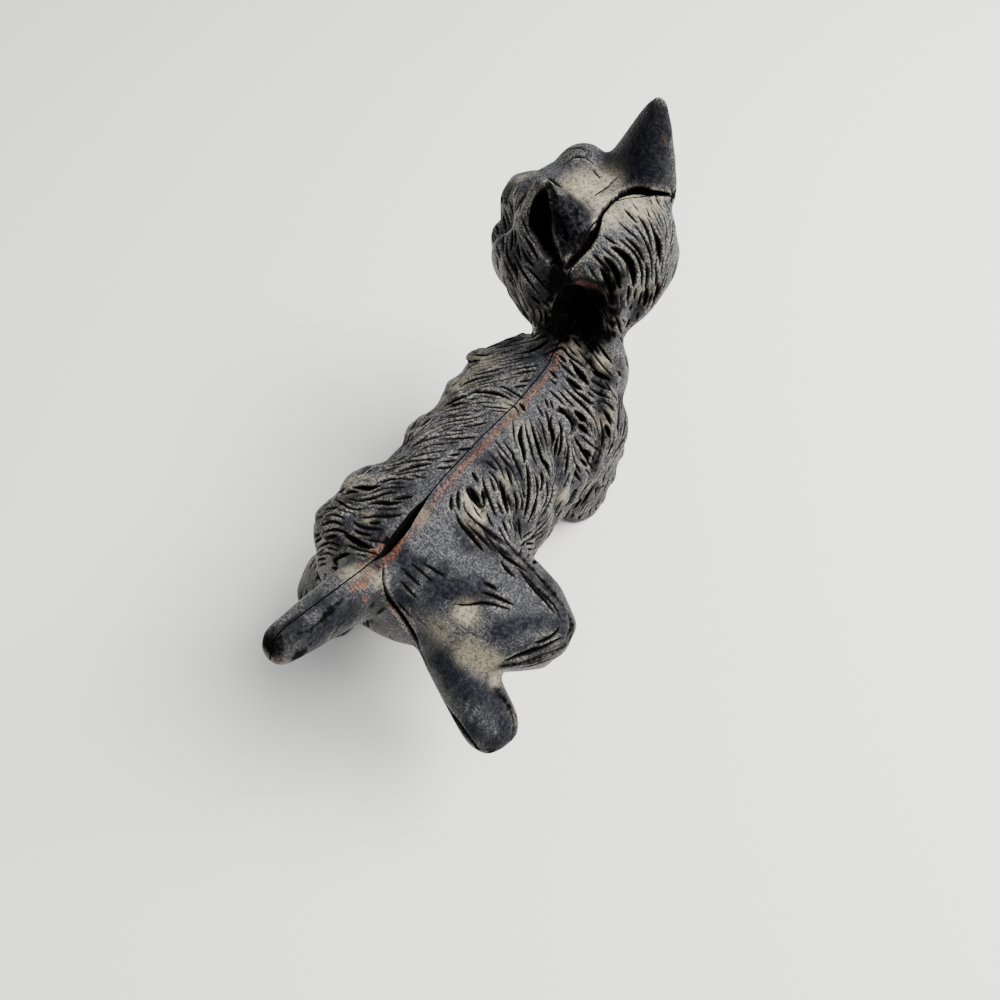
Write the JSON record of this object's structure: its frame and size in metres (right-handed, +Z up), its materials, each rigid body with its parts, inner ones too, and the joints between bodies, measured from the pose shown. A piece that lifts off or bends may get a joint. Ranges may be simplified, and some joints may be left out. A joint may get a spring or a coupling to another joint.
{
  "type": "scottie dog doorstop",
  "caption": "Cast-iron doorstop in the form of a Scottish terrier that lifts a hind leg and looks over its shoulder, cast in two halves.",
  "frame": {"origin": "middle of the figure's box, on the plane of its soles", "axes": "+Z up, the dog faces -Y, its left side is +X"},
  "size_m": [0.0774, 0.1418, 0.1194],
  "materials": {
    "black_iron": "worn black enamel over sand-cast iron, with rust along the seam"
  },
  "bodies": {
    "root": {"left_casting": "black_iron", "right_casting": "black_iron"}
  },
  "joints": []
}
